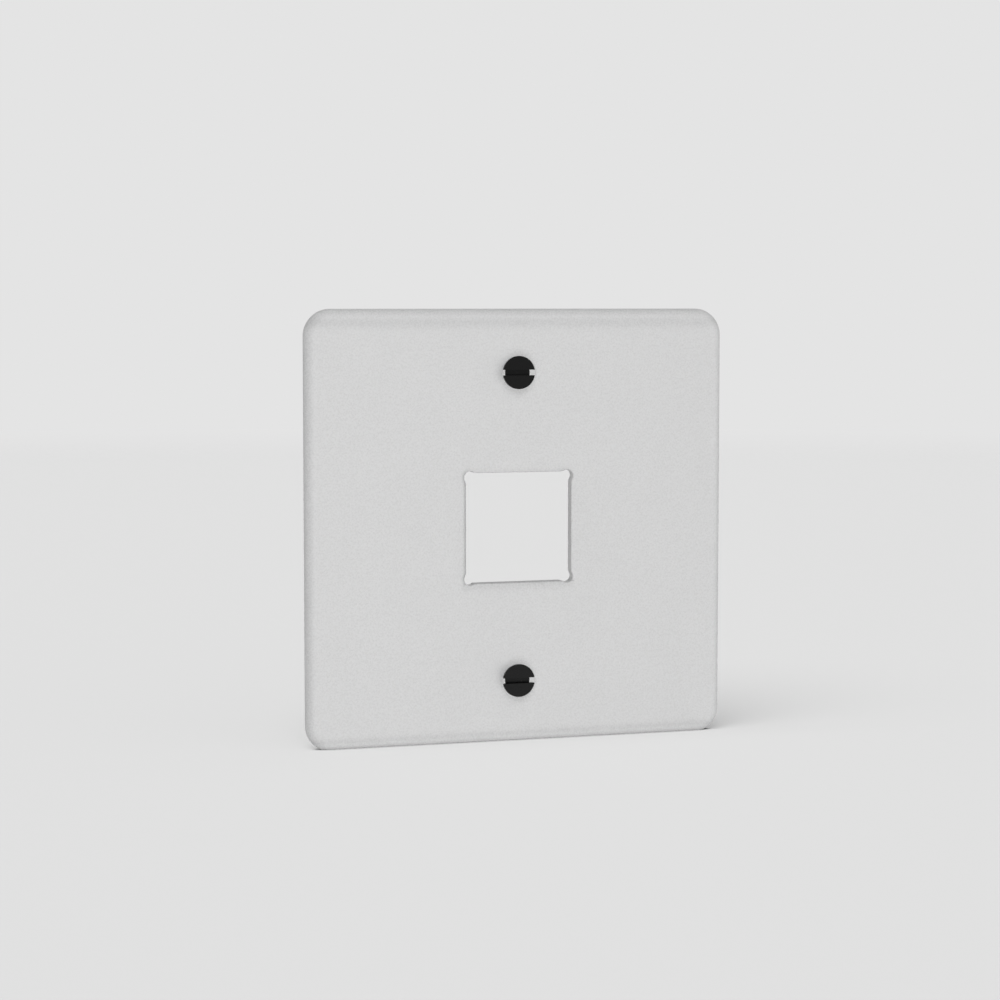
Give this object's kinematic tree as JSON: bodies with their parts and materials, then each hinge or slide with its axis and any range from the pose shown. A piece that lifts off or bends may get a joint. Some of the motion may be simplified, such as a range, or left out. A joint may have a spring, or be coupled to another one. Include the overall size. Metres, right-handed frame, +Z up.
{
  "type": "keystone faceplate",
  "caption": "Square frosted clear faceplate with rounded edges, a central square opening for a keystone module and slotted countersunk fixing screws.",
  "frame": {"origin": "centre of the plate's flat back, on the wall plane, midway between the fixing screws", "axes": "+Z up with the screws one above the other, +X to the right seen from the front, +Y into the wall, so the front faces -Y"},
  "size_m": [0.085, 0.008, 0.085],
  "materials": {
    "frosted_plastic": "frosted clear plastic with a fine satin grain",
    "black_screw": "black coated steel, semi-matt"
  },
  "bodies": {
    "root": {"faceplate": "frosted_plastic", "upper_screw": "black_screw", "lower_screw": "black_screw"}
  },
  "joints": []
}
